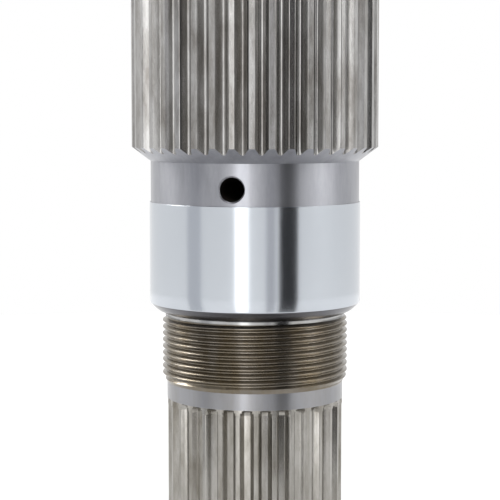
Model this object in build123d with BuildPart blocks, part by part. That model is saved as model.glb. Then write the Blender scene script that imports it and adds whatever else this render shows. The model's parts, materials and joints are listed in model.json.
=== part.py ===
from build123d import *
import os
from math import acos, cos, pi, radians, sin, tan

# Splined shaft, turned, splined and ground from one steel bar.
# The shaft stands on the end of its small spline: Z = 0 is that end face and +Z runs up the axis.
# All sizes are in millimetres, all angles in degrees. Clock angles are taken about the axis from
# the front of the shaft (-Y), positive towards +X.

# Large spline: involute teeth with full fillet roots
large_teeth = 41
large_module = 1.25
large_tooth_thickness = 1.96      # along the pitch circle
large_form_depth = 1.35           # from the tips down to where the root fillets start
large_spline_length = 46.0        # full diameter, from the cone to the end chamfer
large_end_chamfer = 1.2
large_clock = -1.5                # a tooth centre

# Small spline: the same kind of tooth, finer, on flat floors
small_teeth = 31
small_module = 1.175
small_tooth_thickness = 1.62
small_depth = 1.15
small_spline_length = 37.0        # from the end face to the foot of the plain land
small_runout_lift = 0.1           # from the land out to the axis the cutter swings about
small_end_chamfer = 1.0
small_clock = 0.65                # a tooth centre

pressure_angle = 30.0

# Plain land between the small spline and the thread
land_diameter = 37.8
land_length = 4.8

# Locknut thread, 18 threads to the inch; the land is at its major diameter
thread_diameter = 39.7
thread_length = 14.2
thread_lead_chamfer = 1.6         # along the axis, at the small-spline end
thread_end_chamfer = 0.6          # at the relief
relief_diameter = 37.4
relief_width = 0.6

# Ground bearing seat, with a bevelled and rounded entry corner
seat_diameter = 45.0
seat_length = 23.75               # corner included
seat_bevel = 1.0
seat_corner_height = 2.4
seat_corner_width = 3.5           # radially, bevel and rounding together

# Turned neck with the oil hole
neck_step = 0.25                  # of its surface below the seat's
neck_length = 8.65
oil_hole_diameter = 5.0
oil_hole_height = 3.4             # its centre above the seat
oil_hole_clock = -12.5
oil_hole_rim = 0.3

# Cone that cuts the ends of the large teeth
cone_length = 3.0

# Oil gallery drilled down the axis from the large end, and the lathe centre in the small end
gallery_diameter = 8.0
gallery_past_hole = 6.0           # from the oil hole's centre down to the end of the full bore
gallery_mouth_diameter = 14.0     # of the lathe centre turned round its mouth
centre_pilot_diameter = 3.2
centre_pilot_depth = 9.0
centre_mouth_diameter = 8.5
centre_half_angle = 30.0
drill_half_angle = 59.0

# Heights of the steps, from the small end up
land_z = small_spline_length
thread_z = land_z + land_length
shoulder_z = thread_z + thread_length + relief_width
neck_z = shoulder_z + seat_length
cone_z = neck_z + neck_length
large_z = cone_z + cone_length
top_z = large_z + large_spline_length

large_tip_radius = large_module * (large_teeth + 1) / 2
small_tip_radius = small_module * (small_teeth + 1) / 2
neck_radius = seat_diameter / 2 - neck_step

# How far the cutting outlines stand out beyond the metal
tip_clearance = 0.3
runout_clearance = 0.05


def first_space(clock, teeth):
    """Angle from +X of the tooth space next to the tooth that is centred on this clock angle."""
    return clock - 90 + 180 / teeth


def involute(angle):
    """Involute function of a pressure angle in radians."""
    return tan(angle) - angle


def flank_angle(radius, teeth, module):
    """Pressure angle in radians where an involute flank crosses this radius."""
    base_radius = teeth * module / 2 * cos(radians(pressure_angle))
    return acos(base_radius / radius)


def space_half_angle(radius, teeth, module, tooth_thickness):
    """Half of the angle, in radians, that a tooth space spans at this radius."""
    tooth_half = tooth_thickness / (teeth * module)
    tooth_half += involute(radians(pressure_angle))
    tooth_half -= involute(flank_angle(radius, teeth, module))
    return pi / teeth - tooth_half


def flank_points(start_radius, end_radius, teeth, module, tooth_thickness, side):
    """Start, middle and end of one flank of a tooth space that is centred on the X axis."""
    points = []
    for radius in (start_radius, (start_radius + end_radius) / 2, end_radius):
        angle = side * space_half_angle(radius, teeth, module, tooth_thickness)
        points.append((radius * cos(angle), radius * sin(angle)))
    return points


def fillet_root_radius(form_radius, teeth, module, tooth_thickness):
    """Radius of the deepest point of a full fillet that is tangent to both flanks."""
    half_angle = space_half_angle(form_radius, teeth, module, tooth_thickness)
    slope = flank_angle(form_radius, teeth, module) + half_angle
    fillet_radius = form_radius * sin(half_angle) / cos(slope)
    centre = form_radius * cos(half_angle) + fillet_radius * sin(slope)
    return centre - fillet_radius


def cone_height(large_radius, small_radius, half_angle):
    """Height of a cone between two radii."""
    return (large_radius - small_radius) / tan(radians(half_angle))


# Outline of one large tooth space, closed at the bottom by its full fillet
with BuildSketch() as large_space:
    form_radius = large_tip_radius - large_form_depth
    root_radius = fillet_root_radius(form_radius, large_teeth, large_module, large_tooth_thickness)
    with BuildLine():
        flanks = [
            flank_points(form_radius, large_tip_radius + tip_clearance,
                         large_teeth, large_module, large_tooth_thickness, side)
            for side in (-1, 1)
        ]
        ThreePointArc(*flanks[0])
        ThreePointArc(*flanks[1])
        ThreePointArc(flanks[0][0], (root_radius, 0), flanks[1][0])
        Line(flanks[0][-1], flanks[1][-1])
    make_face()

# One small tooth space, open at the end face and swung out into the land where the cutter stops.
# Its flanks are too short to show the involute's curve, so they run straight between its ends.
with BuildPart() as small_space:
    floor_radius = small_tip_radius - small_depth
    mouth_radius = land_diameter / 2 + runout_clearance
    runout_axis = Axis((land_diameter / 2 + small_runout_lift, 0, land_z), (0, 1, 0))
    with BuildSketch(Plane.XY.offset(land_z)) as small_outline:
        with BuildLine():
            flanks = [
                flank_points(floor_radius, mouth_radius,
                             small_teeth, small_module, small_tooth_thickness, side)
                for side in (-1, 1)
            ]
            Line(flanks[0][0], flanks[0][-1])
            Line(flanks[1][0], flanks[1][-1])
            Line(flanks[0][0], flanks[1][0])
            ThreePointArc(flanks[0][-1], (mouth_radius, 0), flanks[1][-1])
        make_face()
    extrude(amount=-land_z)
    revolve(small_outline.sketch, axis=runout_axis, revolution_arc=90)

# The turned blank, as one half section
with BuildPart() as splined_shaft:
    relief_z = shoulder_z - relief_width
    corner_z = shoulder_z + seat_corner_height
    bevel_foot = (seat_diameter / 2 - seat_bevel, corner_z - seat_bevel)
    shoulder_foot = (seat_diameter / 2 - seat_corner_width, shoulder_z)
    with BuildSketch(Plane.XZ):
        with BuildLine():
            Polyline(
                (0, 0),
                (small_tip_radius - small_end_chamfer, 0),
                (small_tip_radius, small_end_chamfer),
                (small_tip_radius, land_z),
                (land_diameter / 2, land_z),
                (land_diameter / 2, thread_z),
                (thread_diameter / 2, thread_z + thread_lead_chamfer),
                (thread_diameter / 2, relief_z - thread_end_chamfer),
                (thread_diameter / 2 - thread_end_chamfer, relief_z),
                (relief_diameter / 2, relief_z),
                (relief_diameter / 2, shoulder_z),
                shoulder_foot,
            )
            TangentArc(bevel_foot, shoulder_foot, tangent=(-1, -1))
            Polyline(
                bevel_foot,
                (seat_diameter / 2, corner_z),
                (seat_diameter / 2, neck_z),
                (neck_radius, neck_z),
                (neck_radius, cone_z),
                (large_tip_radius, large_z),
                (large_tip_radius, top_z - large_end_chamfer),
                (large_tip_radius - large_end_chamfer, top_z),
                (0, top_z),
                (0, 0),
            )
        make_face()
    revolve(axis=Axis.Z)

    # Large tooth spaces, cut right through the cone and the top end
    with BuildSketch(Plane.XY.offset(cone_z)):
        with PolarLocations(0, large_teeth, start_angle=first_space(large_clock, large_teeth)):
            add(large_space.sketch)
    extrude(amount=top_z - cone_z, mode=Mode.SUBTRACT)

    # Small tooth spaces
    with PolarLocations(0, small_teeth, start_angle=first_space(small_clock, small_teeth)):
        add(small_space.part, mode=Mode.SUBTRACT)

    # Oil gallery and its mouth
    oil_hole_z = neck_z + oil_hole_height
    gallery_radius = gallery_diameter / 2
    gallery_mouth_radius = gallery_mouth_diameter / 2
    gallery_mouth_z = top_z - cone_height(gallery_mouth_radius, gallery_radius, centre_half_angle)
    gallery_foot_z = oil_hole_z - gallery_past_hole
    with BuildSketch(Plane.XZ):
        Polygon(
            (0, top_z),
            (gallery_mouth_radius, top_z),
            (gallery_radius, gallery_mouth_z),
            (gallery_radius, gallery_foot_z),
            (0, gallery_foot_z - cone_height(gallery_radius, 0, drill_half_angle)),
            align=None,
        )
    revolve(axis=Axis.Z, mode=Mode.SUBTRACT)

    # Lathe centre in the small end
    pilot_radius = centre_pilot_diameter / 2
    centre_mouth_radius = centre_mouth_diameter / 2
    with BuildSketch(Plane.XZ):
        Polygon(
            (0, 0),
            (centre_mouth_radius, 0),
            (pilot_radius, cone_height(centre_mouth_radius, pilot_radius, centre_half_angle)),
            (pilot_radius, centre_pilot_depth),
            (0, centre_pilot_depth + cone_height(pilot_radius, 0, drill_half_angle)),
            align=None,
        )
    revolve(axis=Axis.Z, mode=Mode.SUBTRACT)

    # Oil hole, drilled through the neck into the gallery, with its rim broken
    oil_hole_direction = Vector(0, -1, 0).rotate(Axis.Z, oil_hole_clock)
    with BuildSketch(Plane((0, 0, oil_hole_z), z_dir=oil_hole_direction)):
        Circle(oil_hole_diameter / 2)
    extrude(amount=neck_radius + oil_hole_diameter, mode=Mode.SUBTRACT)
    hole_edges = splined_shaft.edges().filter_by(GeomType.BSPLINE).filter_by_position(
        Axis.Z, oil_hole_z - oil_hole_diameter, oil_hole_z + oil_hole_diameter
    )
    rim = hole_edges.sort_by_distance((0, 0, oil_hole_z))[-1]
    chamfer(rim, oil_hole_rim)

    splined_shaft.part.label = "splined_shaft"

os.makedirs("parts", exist_ok=True)
export_step(splined_shaft.part, "parts/splined_shaft.step")
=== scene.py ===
import json
import math

import bmesh
import bpy
from mathutils import Matrix, Vector


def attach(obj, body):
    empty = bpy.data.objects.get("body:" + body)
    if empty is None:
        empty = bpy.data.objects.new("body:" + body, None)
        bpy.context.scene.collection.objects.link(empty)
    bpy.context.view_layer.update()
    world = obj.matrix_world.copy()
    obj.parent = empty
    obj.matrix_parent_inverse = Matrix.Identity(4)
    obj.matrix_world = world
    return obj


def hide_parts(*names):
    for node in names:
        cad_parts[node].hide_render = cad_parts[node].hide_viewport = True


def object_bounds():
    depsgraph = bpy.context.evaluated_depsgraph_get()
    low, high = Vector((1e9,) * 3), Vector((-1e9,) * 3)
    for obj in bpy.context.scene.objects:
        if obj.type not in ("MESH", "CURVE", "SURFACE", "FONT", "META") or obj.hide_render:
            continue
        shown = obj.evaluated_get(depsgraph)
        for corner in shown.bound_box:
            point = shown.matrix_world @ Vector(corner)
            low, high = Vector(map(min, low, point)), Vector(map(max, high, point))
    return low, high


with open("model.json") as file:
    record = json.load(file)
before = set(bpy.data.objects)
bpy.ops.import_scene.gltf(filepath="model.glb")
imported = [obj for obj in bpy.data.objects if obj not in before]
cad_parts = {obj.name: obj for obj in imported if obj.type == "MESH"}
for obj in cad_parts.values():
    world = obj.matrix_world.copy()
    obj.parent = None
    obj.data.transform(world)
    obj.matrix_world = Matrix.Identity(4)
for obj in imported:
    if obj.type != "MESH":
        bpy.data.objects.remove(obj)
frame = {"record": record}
cad_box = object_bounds()

# Small spline and its end face: the lower end, which the shaft stands on. The teeth are hobbed
# into the turned bar, and each groove swings out into the plain land where the cutter stopped.
mm = 0.001
mounts = {mount["name"]: mount for mount in frame["record"]["mounts"]}
pressure_angle = math.radians(30)

small_teeth = 31
small_pitch_radius = 18.2125 * mm
small_thickness = 1.62 * mm
small_tip = 18.8 * mm
small_floor = 17.65 * mm
small_clock = math.radians(0.65 - 90)
small_end_chamfer = 1.0 * mm
land_foot = 37.0 * mm
land_radius = 18.9 * mm
swing_axis = 19.0 * mm
centre_mouth = 4.25 * mm
centre_pilot = 1.6 * mm
centre_depth = 9.0 * mm

shaft = bmesh.new()
full_radius = shaft.verts.layers.float.new("full_radius")
zones = []


def involute(angle):
    return math.tan(angle) - angle


def tooth_half_angle(radius, pitch_radius, thickness):
    """Half of the angle that a tooth spans at this radius."""
    flank = math.acos(pitch_radius * math.cos(pressure_angle) / radius)
    return thickness / (2 * pitch_radius) + involute(pressure_angle) - involute(flank)


def polar(vert):
    return math.hypot(vert.co.x, vert.co.y), math.atan2(vert.co.y, vert.co.x)


def place(vert, radius, angle, height):
    vert.co = (radius * math.cos(angle), radius * math.sin(angle), height)


def tooth_ring(teeth, clock, half_outline, height):
    """Ring of edges: half a tooth's outline, mirrored, then repeated round the axis."""
    outline = [(radius, -angle) for radius, angle in reversed(half_outline)] + half_outline[1:]
    points = []
    for radius, angle in outline:
        vert = shaft.verts.new((0, 0, 0))
        place(vert, radius, clock + angle, height)
        vert[full_radius] = radius
        points.append(vert)
    chain = [shaft.edges.new(pair) for pair in zip(points, points[1:])]
    bmesh.ops.spin(
        shaft, geom=points + chain, axis=(0, 0, 1), cent=(0, 0, 0), steps=teeth,
        angle=2 * math.pi, use_duplicate=True,
    )
    loose = [vert for vert in shaft.verts if vert.is_wire]
    bmesh.ops.remove_doubles(shaft, verts=loose, dist=0.001 * mm)
    return [edge for edge in shaft.edges if edge.is_wire]


def round_ring(columns, radius, height, clock=0.0):
    """Plain circle of edges about the axis."""
    turn = Matrix.Translation((0, 0, height)) @ Matrix.Rotation(clock, 4, "Z")
    made = bmesh.ops.create_circle(shaft, segments=columns, radius=radius, matrix=turn)["verts"]
    for vert in made:
        vert[full_radius] = radius
    return list({edge for vert in made for edge in vert.link_edges})


def grow(ring, zone, shape):
    """Extrudes a ring and puts each new vertex at the radius and height its column gives."""
    geometry = bmesh.ops.extrude_edge_only(shaft, edges=ring)["geom"]
    new = {item for item in geometry if isinstance(item, bmesh.types.BMVert)}
    for vert in new:
        radius, height = shape(vert[full_radius])
        place(vert, radius, polar(vert)[1], height)
    if zone not in zones:
        zones.append(zone)
    for face in (item for item in geometry if isinstance(item, bmesh.types.BMFace)):
        face.material_index = zones.index(zone)
        face.smooth = True
    edges = (item for item in geometry if isinstance(item, bmesh.types.BMEdge))
    return [edge for edge in edges if edge.verts[0] in new and edge.verts[1] in new]


def grow_round(ring, zone, outline):
    """Grows a ring through plain circles, one for each (radius, height) in mm."""
    for radius, height in outline:
        ring = grow(ring, zone, lambda full: (radius * mm, height * mm))
    return ring


def small_angle(radius):
    return tooth_half_angle(radius, small_pitch_radius, small_thickness)


small_half = [
    (small_tip, 0.0),
    (small_tip, small_angle(small_tip) - 0.0045),
    (small_tip - 0.05 * mm, small_angle(small_tip) + 0.0005),
    (18.25 * mm, small_angle(18.25 * mm)),
    (small_floor + 0.1 * mm, small_angle(small_floor + 0.1 * mm)),
    (small_floor, small_angle(small_floor) + 0.004),
    (small_floor, small_angle(small_floor) + 0.019),
    (small_floor, math.pi / small_teeth),
]
end_foot = small_tip - small_end_chamfer
base_ring = tooth_ring(small_teeth, small_clock, small_half, 0.0)
base_verts = {vert for edge in base_ring for vert in edge.verts}
small_columns = len(base_verts)
for vert in base_verts:
    place(vert, min(vert[full_radius], end_foot), polar(vert)[1], 0.0)

# Downwards and inwards: the end face and the lathe centre with its drilled pilot
ring = grow_round(base_ring, "turned", [(11.0, 0), (centre_mouth / mm, 0)])
cone_top = (centre_mouth - centre_pilot) / math.tan(math.radians(30))
ring = grow_round(ring, "turned", [
    (centre_pilot / mm, cone_top / mm), (centre_pilot / mm, centre_depth / mm),
])
ring = grow_round(ring, "turned", [(0.02, centre_depth / mm + 0.96)])
bmesh.ops.pointmerge(
    shaft, verts=list({vert for edge in ring for vert in edge.verts}),
    merge_co=(0, 0, centre_depth + 0.96 * mm),
)

# Upwards: the end chamfer meets each column of the teeth at its own height
ring = grow(base_ring, "small_spline", lambda full: (full, max(full - end_foot, 0.05 * mm)))
for step in range(26):
    height = (1.3 + step * 1.4) * mm
    ring = grow(ring, "small_spline", lambda full: (full, height))
ring = grow(ring, "small_spline", lambda full: (full, land_foot - 0.12 * mm))
ring = grow(ring, "small_spline", lambda full: (full, land_foot))


def runout(full, rise):
    """Radius of a groove's column where the cutter has swung up by this much."""
    reach = swing_axis - full
    if full > small_tip - 0.04 * mm or reach <= rise:
        return land_radius
    return min(swing_axis - math.sqrt(reach ** 2 - rise ** 2), land_radius)


for rise in (0.12, 0.3, 0.48, 0.66, 0.82, 0.96, 1.08, 1.18, 1.27, 1.35):
    ring = grow(ring, "small_spline", lambda full: (runout(full, rise * mm), land_foot + rise * mm))

# Plain land and locknut thread. The land is turned; the thread is single-start, right-handed,
# 18 to the inch, cut with a 60 degree tool, with a lead chamfer below and a relief above.
thread_foot = 41.8 * mm
thread_top = 56.0 * mm
thread_radius = mounts["locknut_thread"]["dims"]["r_mm"] * mm
thread_pitch = 25.4 / 18 * mm
lead_chamfer = 1.6 * mm
end_chamfer = 0.6 * mm
crest_height = 49.67 * mm

ring = grow_round(ring, "turned", [(18.9, 38.6), (18.9, 39.6), (18.9, 40.8), (18.9, 41.8)])
column_step = 2 * math.pi / small_columns
for vert in {vert for edge in ring for vert in edge.verts}:
    column = round((polar(vert)[1] - small_clock) / column_step)
    place(vert, land_radius, small_clock + column * column_step, thread_foot)
# One thread form, repeated up a line at the front, then swept once round while it climbs
thread_form = [
    (0.07, 0.0), (0.13, 0.05), (0.6, 0.84), (0.7055, 0.866), (0.811, 0.84), (1.281, 0.05),
    (1.341, 0.0),
]
line = []
first_turn = math.floor((thread_foot - crest_height) / thread_pitch) - 2
last_turn = math.ceil((thread_top - crest_height) / thread_pitch) + 1
for turn in range(first_turn, last_turn):
    for rise, cut in thread_form:
        vert = shaft.verts.new((0, 0, 0))
        place(vert, thread_radius, small_clock, crest_height + turn * thread_pitch + rise * mm)
        vert[full_radius] = thread_radius - cut * mm
        line.append(vert)
chain = [shaft.edges.new(pair) for pair in zip(line, line[1:])]
before = set(shaft.faces)
bmesh.ops.spin(
    shaft, geom=line + chain, axis=(0, 0, 1), cent=(0, 0, 0), steps=small_columns,
    angle=2 * math.pi, dvec=(0, 0, thread_pitch / small_columns),
)
thread_faces = [face for face in shaft.faces if face not in before]
zones.append("thread")
for face in thread_faces:
    face.material_index = zones.index("thread")
    face.smooth = True
flat_before = (thread_form[-1][0] - thread_pitch / mm, 0.0)
flat_after = (thread_pitch / mm + thread_form[0][0], 0.0)
whole_form = [flat_before] + thread_form + [flat_after]


def groove_depth(rise):
    """Depth of the groove this far above the middle of a crest, both in mm."""
    for (rise_a, cut_a), (rise_b, cut_b) in zip(whole_form, whole_form[1:]):
        if rise <= rise_b:
            return cut_a + (cut_b - cut_a) * (rise - rise_a) / (rise_b - rise_a)


def thread_limit(height):
    """Radius of the chamfered blank at this height."""
    lead = land_radius + (height - thread_foot) * (thread_radius - land_radius) / lead_chamfer
    return min(lead, thread_radius, thread_radius - end_chamfer + thread_top - height)


for vert in {vert for face in thread_faces for vert in face.verts}:
    column = round((polar(vert)[1] - small_clock) / column_step) % small_columns
    height = min(max(vert.co.z, thread_foot), thread_top)
    turns = (height - crest_height) / thread_pitch - column / small_columns
    radius = vert[full_radius]
    if height != vert.co.z:
        radius = thread_radius - groove_depth(turns % 1 * thread_pitch / mm) * mm
    radius = min(radius, thread_limit(height))
    place(vert, radius, small_clock + column * column_step, height)
low = [vert for vert in shaft.verts if vert.co.z > thread_foot - 0.001 * mm]
bmesh.ops.remove_doubles(shaft, verts=low, dist=0.0005 * mm)


def open_ring(height):
    """The unfinished ring of edges at this height."""
    return [
        edge for edge in shaft.edges
        if edge.is_boundary and abs(edge.verts[0].co.z - height) < 0.001 * mm
    ]


def join_flat(ring, other, lift):
    """Joins two rings of one plane: the second is held off by a lift while they are joined."""
    held = {vert for edge in other for vert in edge.verts}
    for vert in held:
        vert.co += lift
    faces = bmesh.ops.bridge_loops(shaft, edges=ring + other)["faces"]
    for vert in held:
        vert.co -= lift
    return faces


# Relief groove, bearing seat and neck. The relief and the rounded corner are turned, the seat is
# ground to a mirror, and the neck above is 0.25 mm lower so that the bearing slides over it.
seat_radius = mounts["bearing_seat"]["dims"]["r_mm"]
seat_foot = 59.0
seat_top = 80.35
neck_radius = seat_radius - 0.25
neck_top = 89.0
corner_radius = 5.277
corner_centre = (17.769, 61.731)
hole_radius = 2.5
hole_rim = 0.3
hole_height = 83.75
hole_clock = math.radians(-12.5 - 90)
window_foot = 80.65
window_top = 86.85

ring = open_ring(thread_top)
ring = grow_round(ring, "relief", [(18.7, 56.0), (18.7, 56.3), (18.7, 56.6), (19.0, 56.6)])
corner = []
for step in range(1, 9):
    turn = math.radians(-76.5 + 31.5 * step / 8)
    corner.append((
        corner_centre[0] + corner_radius * math.cos(turn),
        corner_centre[1] + corner_radius * math.sin(turn),
    ))
ring = grow_round(ring, "corner", corner)
ring = grow_round(ring, "corner", [(22.1, 58.6), (seat_radius - 0.06, seat_foot - 0.1)])
ring = grow_round(ring, "ground", [(seat_radius, seat_foot + 0.05)])
seat_rows = 8
for step in range(1, seat_rows + 1):
    height = seat_foot + 0.05 + (seat_top - 0.1 - seat_foot) * step / seat_rows
    ring = grow_round(ring, "ground", [(seat_radius, min(height, seat_top - 0.05))])
ring = grow_round(ring, "ground", [(seat_radius - 0.05, seat_top)])

# Large spline: the upper end, with its gallery mouth. The teeth are hobbed and their lower ends
# are turned off on a cone; the surface is left dull by heat treatment and handling.
large_teeth = 41
large_pitch_radius = 25.625 * mm
large_thickness = 1.96 * mm
large_tip = 26.25 * mm
large_form = 24.9 * mm
large_clock = math.radians(-1.5 - 90)
large_end_chamfer = 1.2
fillet_radius = 0.6455 * mm
fillet_centre = 25.1993 * mm
cone_slope = 0.75
shaft_top = round(cad_box[1][2] / mm, 3)


def large_angle(radius):
    return tooth_half_angle(radius, large_pitch_radius, large_thickness)


large_half = [
    (large_tip, 0.0),
    (large_tip, large_angle(large_tip) - 0.003),
    (large_tip - 0.06 * mm, large_angle(large_tip) + 0.001),
    (25.75 * mm, large_angle(25.75 * mm)),
    (25.3 * mm, large_angle(25.3 * mm)),
    (large_form, large_angle(large_form)),
]
for turn in (42, 26, 12, 0):
    across = fillet_radius * math.sin(math.radians(turn))
    out = fillet_centre - fillet_radius * math.cos(math.radians(turn))
    large_half.append((math.hypot(out, across), math.pi / large_teeth - across / out))

neck_ring = tooth_ring(large_teeth, large_clock, large_half, seat_top * mm)
for vert in {vert for edge in neck_ring for vert in edge.verts}:
    place(vert, neck_radius * mm, polar(vert)[1], seat_top * mm)
made = join_flat(ring, neck_ring, Vector((0, 0, 5 * mm)))
for face in made:
    face.material_index = zones.index("turned")
zones.append("neck")
ring = grow(neck_ring, "neck", lambda full: (neck_radius * mm, window_foot * mm))
window_rows = 12
for step in range(1, window_rows + 1):
    height = window_foot + (window_top - window_foot) * step / window_rows
    ring = grow(ring, "neck", lambda full: (neck_radius * mm, height * mm))
ring = grow(ring, "neck", lambda full: (neck_radius * mm, 88.0 * mm))
ring = grow(ring, "neck", lambda full: (neck_radius * mm, neck_top * mm))


def on_cone(full, share):
    """The point this share of the way up the cone, below the end of this column."""
    radius = neck_radius * mm + (full - neck_radius * mm) * share
    return radius, neck_top * mm + (radius / mm - neck_radius) * cone_slope * mm


ring = grow(ring, "neck", lambda full: on_cone(full, 0.5))
ring = grow(ring, "neck", lambda full: on_cone(full, 1.0))
tip_start = neck_top + (large_tip / mm - neck_radius) * cone_slope
ring = grow(ring, "large_spline", lambda full: (full, (tip_start + 0.25) * mm))
large_rows = 18
top_row = shaft_top - large_end_chamfer - 0.2
for step in range(1, large_rows + 1):
    height = tip_start + 0.25 + (top_row - tip_start - 0.25) * step / large_rows
    ring = grow(ring, "large_spline", lambda full: (full, height * mm))
chamfer_foot = (large_tip / mm - large_end_chamfer) * mm
ring = grow(ring, "large_spline", lambda full: (
    full, min(shaft_top * mm - max(full - chamfer_foot, 0.03 * mm), shaft_top * mm),
))
ring = grow(ring, "turned", lambda full: (min(full, chamfer_foot), shaft_top * mm))
ring = grow_round(ring, "turned", [(18.0, shaft_top), (12.0, shaft_top)])

# Oil gallery and oil hole: drilled from the upper end and from the side, with a cone mouth for
# a lathe centre, a drill point at the bottom and a small bevel round the hole.
gallery_radius = mounts["oil_gallery"]["dims"]["r_mm"]
gallery_foot = 77.75
gallery_columns = 96
mouth_ring = round_ring(gallery_columns, 8.5 * mm, shaft_top * mm, hole_clock)
made = join_flat(ring, mouth_ring, Vector((0, 0, -5 * mm)))
for face in made:
    face.material_index = zones.index("turned")
ring = grow_round(mouth_ring, "turned", [(7.0, shaft_top), (5.5, 135.4), (4.0, 132.8)])
ring = grow_round(ring, "bore", [(4.0, 118), (4.0, 102), (4.0, 92), (4.0, window_top + 0.2)])
for step in range(1, window_rows + 1):
    height = window_top + 0.2 - (window_top - window_foot + 0.4) * step / window_rows
    ring = grow_round(ring, "bore", [(4.0, height)])
drill_depth = gallery_radius / math.tan(math.radians(59))
ring = grow_round(ring, "bore", [(4.0, gallery_foot), (0.02, gallery_foot - drill_depth)])
bmesh.ops.pointmerge(
    shaft, verts=list({vert for edge in ring for vert in edge.verts}),
    merge_co=(0, 0, (gallery_foot - drill_depth) * mm),
)
across_axis = Vector((-math.sin(hole_clock), math.cos(hole_clock), 0))
out_axis = Vector((math.cos(hole_clock), math.sin(hole_clock), 0))


def lay_on_wall(vert, wall):
    """Moves a point outwards or inwards along the hole until it lies on a round wall."""
    across = vert.co.dot(across_axis)
    out = math.sqrt((wall * mm) ** 2 - across ** 2)
    vert.co = across_axis * across + out_axis * out + Vector((0, 0, vert.co.z))


def cut_window(wall, reach, rim_radius):
    """Opens a round hole in a wall about the axis and returns the edge of the hole."""
    patch = []
    for face in shaft.faces:
        middle = face.calc_center_median()
        inside = window_foot - 0.2 < middle.z / mm < window_top + 0.2
        if not inside or abs(math.hypot(middle.x, middle.y) / mm - wall) > 0.05:
            continue
        if abs(middle.dot(across_axis)) < reach * mm and middle.dot(out_axis) > 0:
            patch.append(face)
    zone = patch[0].material_index
    patch_set = set(patch)
    border = [
        edge for edge in {edge for face in patch for edge in face.edges}
        if sum(face in patch_set for face in edge.link_faces) == 1
    ]
    bmesh.ops.delete(shaft, geom=patch, context="FACES")
    turn = Matrix.Translation((0, 0, hole_height * mm)) @ Matrix.Rotation(hole_clock, 4, "Z")
    turn = turn @ Matrix.Rotation(math.pi / 2, 4, "Y")
    circle = bmesh.ops.create_circle(
        shaft, segments=64, radius=rim_radius * mm, matrix=turn,
    )["verts"]
    for vert in circle:
        lay_on_wall(vert, wall)
    rim = list({edge for vert in circle for edge in vert.link_edges})
    made = join_flat(border, rim, out_axis * 5 * mm)
    for face in made:
        face.material_index = zone
        face.smooth = True
    ends = set(border) | set(rim)
    spokes = [edge for edge in {edge for face in made for edge in face.edges} if edge not in ends]
    inner = bmesh.ops.subdivide_edges(shaft, edges=spokes, cuts=2, use_grid_fill=True)
    for item in inner["geom_inner"]:
        if isinstance(item, bmesh.types.BMVert):
            lay_on_wall(item, wall)
    return rim


outer_rim = cut_window(neck_radius, 3.4, hole_radius + hole_rim)
inner_rim = cut_window(gallery_radius, 3.1, hole_radius)
outer_verts = {vert for edge in outer_rim for vert in edge.verts}
geometry = bmesh.ops.extrude_edge_only(shaft, edges=outer_rim)["geom"]
hole_ring = [
    item for item in geometry
    if isinstance(item, bmesh.types.BMEdge) and not outer_verts & set(item.verts)
]
for vert in {vert for edge in hole_ring for vert in edge.verts}:
    lift = vert.co.z - hole_height * mm
    across = vert.co.dot(across_axis)
    share = hole_radius / (hole_radius + hole_rim)
    out = vert.co.dot(out_axis) - hole_rim * mm
    vert.co = across_axis * across * share + out_axis * out
    vert.co.z = hole_height * mm + lift * share
made = bmesh.ops.bridge_loops(shaft, edges=hole_ring + inner_rim)["faces"]
for face in made:
    face.material_index = zones.index("bore")
    face.smooth = True
for item in geometry:
    if isinstance(item, bmesh.types.BMFace):
        item.material_index = zones.index("neck")
        item.smooth = True

shaft.normal_update()
bmesh.ops.recalc_face_normals(shaft, faces=shaft.faces[:])
if shaft.calc_volume(signed=True) < 0:
    bmesh.ops.reverse_faces(shaft, faces=shaft.faces[:])
for edge in shaft.edges:
    if edge.is_manifold and edge.calc_face_angle(0) > math.radians(27):
        edge.smooth = False

# Steel finishes and painted shade, one for each zone: colour, roughness, how far the turning lines
# stretch the shine, how strongly dull patches show, and the tint of those patches. The corner's
# colour and the bore's colour are painted shade.
mesh = bpy.data.meshes.new("splined_shaft")
finishes_and_painted_shade = {
    "turned": ((0.27, 0.272, 0.285), 0.34, 0.6, 0.35, (0.70, 0.64, 0.54)),
    "small_spline": ((0.37, 0.358, 0.335), 0.24, 0.2, 0.85, (0.36, 0.33, 0.27)),
    "thread": ((0.20, 0.18, 0.152), 0.25, 0.3, 0.55, (0.62, 0.50, 0.22)),
    "relief": ((0.42, 0.42, 0.42), 0.22, 0.6, 0.3, (0.7, 0.65, 0.55)),
    # The corner's near-black colour is painted shade: it stands in for the shade and dark
    # reflections under the seat's rounded corner.
    "corner": ((0.10, 0.10, 0.11), 0.25, 0.5, 0.2, (0.8, 0.8, 0.8)),
    "ground": ((0.53, 0.56, 0.60), 0.20, 0.6, 0.10, (0.86, 0.87, 0.9)),
    "neck": ((0.31, 0.315, 0.34), 0.34, 0.7, 0.45, (0.5, 0.5, 0.52)),
    "large_spline": ((0.40, 0.395, 0.388), 0.25, 0.1, 0.85, (0.36, 0.33, 0.295)),
    # The bore's near-black colour is painted shade: it stands in for the shade inside the drilled
    # gallery and hole.
    "bore": ((0.07, 0.06, 0.055), 0.5, 0.0, 0.3, (0.5, 0.4, 0.3)),
}
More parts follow.
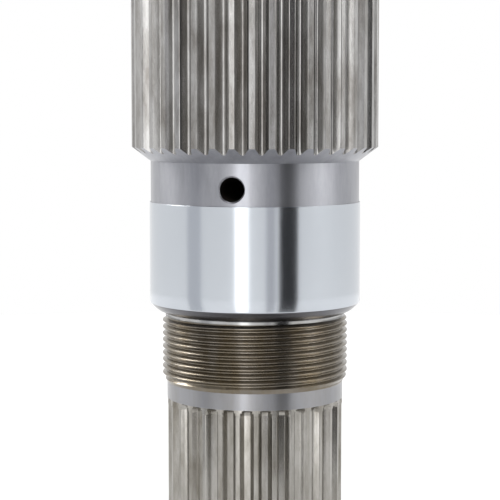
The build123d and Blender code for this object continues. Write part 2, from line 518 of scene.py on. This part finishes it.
for zone in zones:
    colour, rough, turning, cloud, stain = finishes_and_painted_shade[zone]
    steel = bpy.data.materials.new("steel_" + zone)
    steel.use_nodes = True
    nodes, links = steel.node_tree.nodes, steel.node_tree.links
    shader = nodes["Principled BSDF"]
    shader.inputs["Metallic"].default_value = 1.0
    shader.inputs["Anisotropic"].default_value = turning
    shader.inputs["Anisotropic Rotation"].default_value = 0.25
    place_on = nodes.new("ShaderNodeTexCoord")
    stretch = nodes.new("ShaderNodeMapping")
    stretch.inputs["Scale"].default_value = (260, 260, 60)
    patches = nodes.new("ShaderNodeTexNoise")
    patches.inputs["Scale"].default_value = 1.0
    patches.inputs["Detail"].default_value = 8.0
    patches.inputs["Roughness"].default_value = 0.65
    links.new(place_on.outputs["Object"], stretch.inputs["Vector"])
    links.new(stretch.outputs["Vector"], patches.inputs["Vector"])
    spread = nodes.new("ShaderNodeMapRange")
    spread.inputs["From Min"].default_value = 0.42
    spread.inputs["From Max"].default_value = 0.70
    spread.inputs["To Max"].default_value = cloud
    links.new(patches.outputs["Fac"], spread.inputs["Value"])
    tint = nodes.new("ShaderNodeMix")
    tint.data_type = "RGBA"
    tint.blend_type = "MULTIPLY"
    tint.inputs["A"].default_value = (*colour, 1)
    tint.inputs["B"].default_value = (*stain, 1)
    links.new(spread.outputs["Result"], tint.inputs["Factor"])
    links.new(tint.outputs["Result"], shader.inputs["Base Color"])
    wear = nodes.new("ShaderNodeMapRange")
    wear.inputs["To Min"].default_value = rough * 0.75
    wear.inputs["To Max"].default_value = rough * 1.25
    links.new(patches.outputs["Fac"], wear.inputs["Value"])
    links.new(wear.outputs["Result"], shader.inputs["Roughness"])
    if turning:
        direction = nodes.new("ShaderNodeTangent")
        direction.direction_type = "RADIAL"
        direction.axis = "Z"
        links.new(direction.outputs["Tangent"], shader.inputs["Tangent"])
    grain = nodes.new("ShaderNodeTexNoise")
    grain.inputs["Detail"].default_value = 6.0
    grain.inputs["Scale"].default_value = 1.0
    run = nodes.new("ShaderNodeMapping")
    dull = zone in ("small_spline", "large_spline", "thread")
    run.inputs["Scale"].default_value = (900, 900, 350) if dull else (60, 60, 5000)
    bump = nodes.new("ShaderNodeBump")
    bump.inputs["Strength"].default_value = 0.35 if dull else 0.12
    bump.inputs["Distance"].default_value = 0.00006 if dull else 0.00001
    links.new(place_on.outputs["Object"], run.inputs["Vector"])
    links.new(run.outputs["Vector"], grain.inputs["Vector"])
    links.new(grain.outputs["Fac"], bump.inputs["Height"])
    if zone != "ground":
        links.new(bump.outputs["Normal"], shader.inputs["Normal"])
    mesh.materials.append(steel)
shaft.to_mesh(mesh)
shaft.free()
piece = bpy.data.objects.new("splined_shaft_visual", mesh)
bpy.context.scene.collection.objects.link(piece)
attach(piece, "root")
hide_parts("splined_shaft")

# Floor and studio: a pale floor under an even white surround, four soft lamps, and upright dark
# and pale cards round the shaft. Only the steel's reflections see the cards.
def card(name, azimuth, width, height, distance, middle, colour, strength):
    """An upright card that faces the shaft; azimuth is to the right of the front, in degrees."""
    turn = math.radians(azimuth)
    at = Vector((math.sin(turn) * distance, -math.cos(turn) * distance, middle))
    made = bmesh.new()
    stand = Matrix.Translation(at) @ Matrix.Rotation(turn, 4, "Z")
    stand = stand @ Matrix.Rotation(math.pi / 2, 4, "X") @ Matrix.Diagonal((width, height, 1, 1))
    bmesh.ops.create_grid(made, x_segments=1, y_segments=1, size=0.5, matrix=stand)
    sheet = bpy.data.meshes.new(name)
    made.to_mesh(sheet)
    made.free()
    paint = bpy.data.materials.new(name)
    paint.use_nodes = True
    nodes, links = paint.node_tree.nodes, paint.node_tree.links
    glow = nodes.new("ShaderNodeEmission")
    glow.inputs["Color"].default_value = (*colour, 1)
    glow.inputs["Strength"].default_value = strength
    links.new(glow.outputs["Emission"], nodes["Material Output"].inputs["Surface"])
    sheet.materials.append(paint)
    board = bpy.data.objects.new(name, sheet)
    bpy.context.scene.collection.objects.link(board)
    board.visible_camera = False
    board.visible_diffuse = False
    board.visible_shadow = False


card("card_dark_right", 33, 0.040, 0.36, 0.12, 0.16, (0.02, 0.02, 0.022), 1.0)
card("card_grey_right", 15, 0.018, 0.36, 0.12, 0.16, (0.62, 0.62, 0.65), 1.0)
card("card_grey_left", -63, 0.034, 0.36, 0.12, 0.16, (0.70, 0.71, 0.74), 1.0)
card("card_bright_front", -13, 0.026, 0.36, 0.12, 0.16, (1.0, 1.0, 1.0), 2.6)
card("card_high_front", -13, 0.16, 0.5, 0.6, 0.55, (1.0, 0.98, 0.95), 12.0)
card("card_high_left", -118, 0.30, 0.6, 0.6, 0.55, (1.0, 0.99, 0.97), 10.0)
card("card_high_right", 84, 0.30, 0.6, 0.6, 0.55, (1.0, 0.99, 0.97), 10.0)
card("card_low_left", -66, 0.16, 0.5, 0.3, 0.46, (0.10, 0.10, 0.10), 1.0)
card("card_low_right", 33, 0.12, 0.5, 0.3, 0.46, (0.05, 0.05, 0.05), 1.0)

floor_mesh = bpy.data.meshes.new("floor")
made = bmesh.new()
bmesh.ops.create_circle(made, cap_ends=True, segments=96, radius=0.45)
made.to_mesh(floor_mesh)
made.free()
floor = bpy.data.objects.new("floor", floor_mesh)
bpy.context.scene.collection.objects.link(floor)
paint = bpy.data.materials.new("floor")
paint.use_nodes = True
paint.node_tree.nodes["Principled BSDF"].inputs["Base Color"].default_value = (0.86, 0.86, 0.86, 1)
paint.node_tree.nodes["Principled BSDF"].inputs["Roughness"].default_value = 1.0
paint.node_tree.nodes["Principled BSDF"].inputs["Specular IOR Level"].default_value = 0.0
floor_mesh.materials.append(paint)

for name, azimuth, height, power, size in (
    ("lamp_left", -120, 0.9, 4.0, 0.5), ("lamp_front", -15, 1.1, 4.0, 0.4),
    ("lamp_right", 80, 0.9, 4.0, 0.5), ("lamp_top", 180, 1.6, 5.0, 0.9),
):
    light = bpy.data.lights.new(name, "AREA")
    light.energy = power
    light.size = size
    lamp = bpy.data.objects.new(name, light)
    turn = math.radians(azimuth)
    lamp.location = (math.sin(turn) * 1.1, -math.cos(turn) * 1.1, height)
    aim = Vector((0, 0, 0.07)) - lamp.location
    lamp.rotation_euler = aim.to_track_quat("-Z", "Y").to_euler()
    bpy.context.scene.collection.objects.link(lamp)

world = bpy.data.worlds.new("studio")
bpy.context.scene.world = world
world.use_nodes = True
nodes, links = world.node_tree.nodes, world.node_tree.links
path = nodes.new("ShaderNodeLightPath")
seen = nodes.new("ShaderNodeMath")
seen.operation = "ADD"
links.new(path.outputs["Is Camera Ray"], seen.inputs[0])
links.new(path.outputs["Is Glossy Ray"], seen.inputs[1])
either = nodes.new("ShaderNodeMath")
either.operation = "ADD"
either.use_clamp = True
links.new(seen.outputs["Value"], either.inputs[0])
links.new(path.outputs["Is Transmission Ray"], either.inputs[1])
level = nodes.new("ShaderNodeMapRange")
level.inputs["To Min"].default_value = 0.95
level.inputs["To Max"].default_value = 1.0
links.new(either.outputs["Value"], level.inputs["Value"])
links.new(level.outputs["Result"], nodes["Background"].inputs["Strength"])
nodes["Background"].inputs["Color"].default_value = (1, 1, 1, 1)

# Camera: straight at the front, a little above the middle of the shaft and looking slightly down.
lens = bpy.data.cameras.new("camera")
lens.lens = 115.2
lens.sensor_width = 36.0
camera = bpy.data.objects.new("camera", lens)
camera.location = (-1.05 * mm, -342.4 * mm, 99.35 * mm)
camera.rotation_euler = (math.radians(90 - 4.93), 0, 0)
bpy.context.scene.collection.objects.link(camera)
bpy.context.scene.camera = camera
bpy.context.scene.view_settings.view_transform = "Standard"
